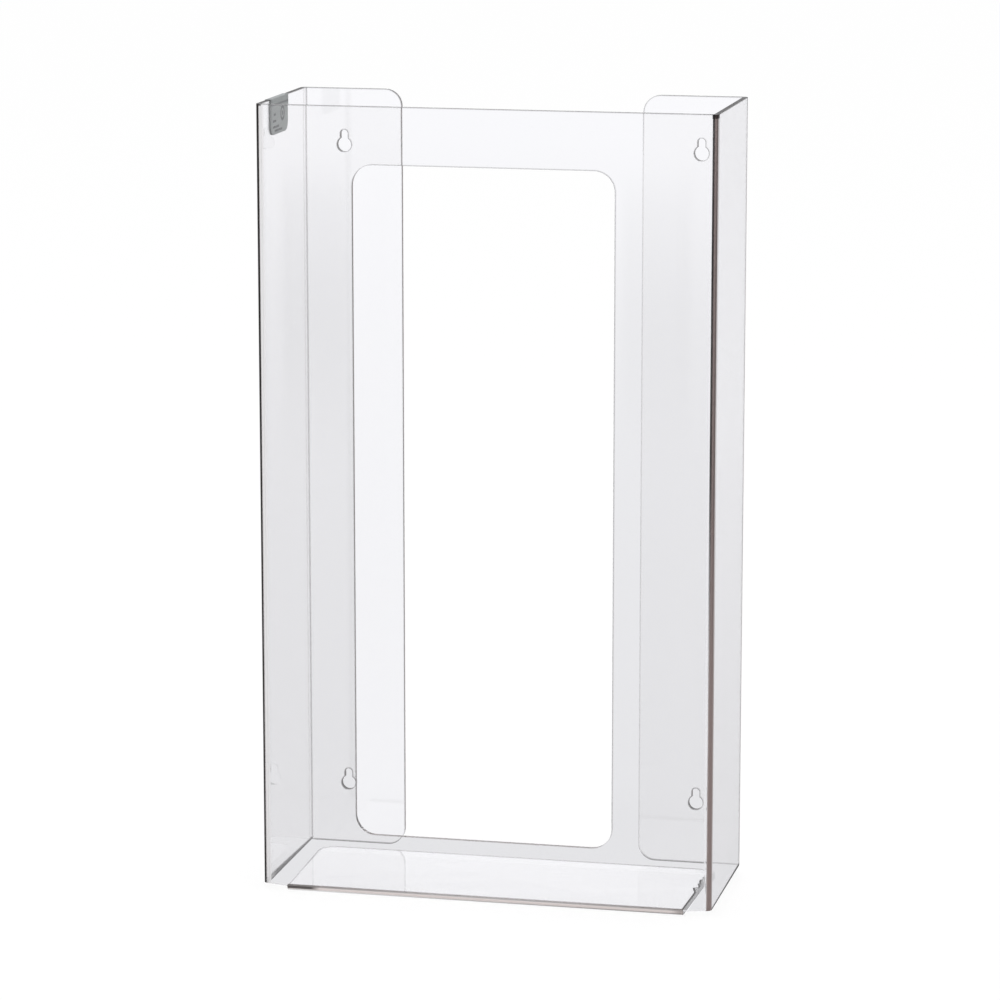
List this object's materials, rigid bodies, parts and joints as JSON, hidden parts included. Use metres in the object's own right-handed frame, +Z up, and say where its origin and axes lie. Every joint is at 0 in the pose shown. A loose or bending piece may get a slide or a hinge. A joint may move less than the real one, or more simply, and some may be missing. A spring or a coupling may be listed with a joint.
{
  "type": "disposable glove dispenser",
  "caption": "Clear wall dispenser for boxes of disposable gloves, folded from one sheet, with a tall front window, open top, slotted wall flanges and a small edge label.",
  "frame": {"origin": "on the standing surface, below the middle of the body's width and depth", "axes": "+X to the right seen from the front, +Y from the front panel towards the wall, +Z up to the open top"},
  "size_m": [0.2663, 0.101, 0.4613],
  "materials": {
    "clear_sheet": "clear, polished faces with saw-cut edges",
    "label_film": "satin grey self-adhesive film"
  },
  "bodies": {
    "root": {"body": "clear_sheet", "edge_label": "label_film"}
  },
  "joints": []
}
